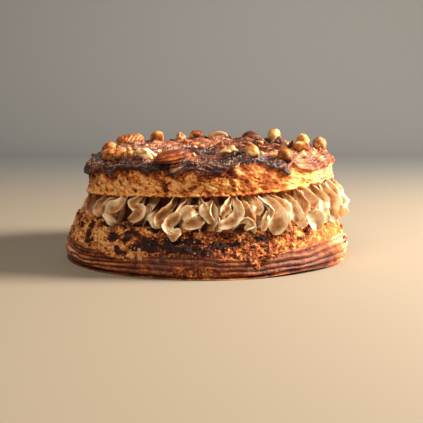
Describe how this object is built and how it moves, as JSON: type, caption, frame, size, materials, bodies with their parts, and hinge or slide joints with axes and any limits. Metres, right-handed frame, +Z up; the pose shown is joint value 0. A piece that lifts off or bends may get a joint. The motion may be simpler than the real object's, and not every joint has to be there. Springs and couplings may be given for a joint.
{
  "type": "paris-brest",
  "caption": "Ring of choux pastry split in two, filled with piped praline cream and topped with hazelnuts and pecans.",
  "frame": {"origin": "middle of the ring on the surface that it rests on", "axes": "+Z up through the hole; -Y towards the side that the picture shows; +X to the right in the picture"},
  "size_m": [0.2342, 0.2343, 0.1031],
  "materials": {
    "crust_lower": "rough baked crust",
    "crust_upper": "rough baked crust, scorched ridges",
    "cream": "soft satin cream",
    "hazelnut": "roasted, satin",
    "skin": "roasted skin, matt",
    "cut_nut": "pale cut nut, matt",
    "pecan": "roasted, satin"
  },
  "bodies": {
    "root": {"base": "crust_lower", "cream": "cream", "lid": "crust_upper", "pecan_far_left": "pecan", "hazelnut_left_a": "hazelnut", "hazelnut_left_b": "hazelnut", "half_left": "cut_nut", "hazelnut_left_c": "hazelnut", "piece_left": "cut_nut", "hazelnut_back_a": "hazelnut", "piece_back": "cut_nut", "pecan_front": "pecan", "hazelnut_back_b": "hazelnut", "half_back": "cut_nut", "skin_back": "skin", "hazelnut_back_c": "hazelnut", "piece_front": "cut_nut", "hazelnut_front_a": "hazelnut", "hazelnut_front_b": "hazelnut", "hazelnut_right_a": "hazelnut", "hazelnut_right_b": "hazelnut", "skin_right": "skin", "piece_right": "cut_nut"}
  },
  "joints": []
}
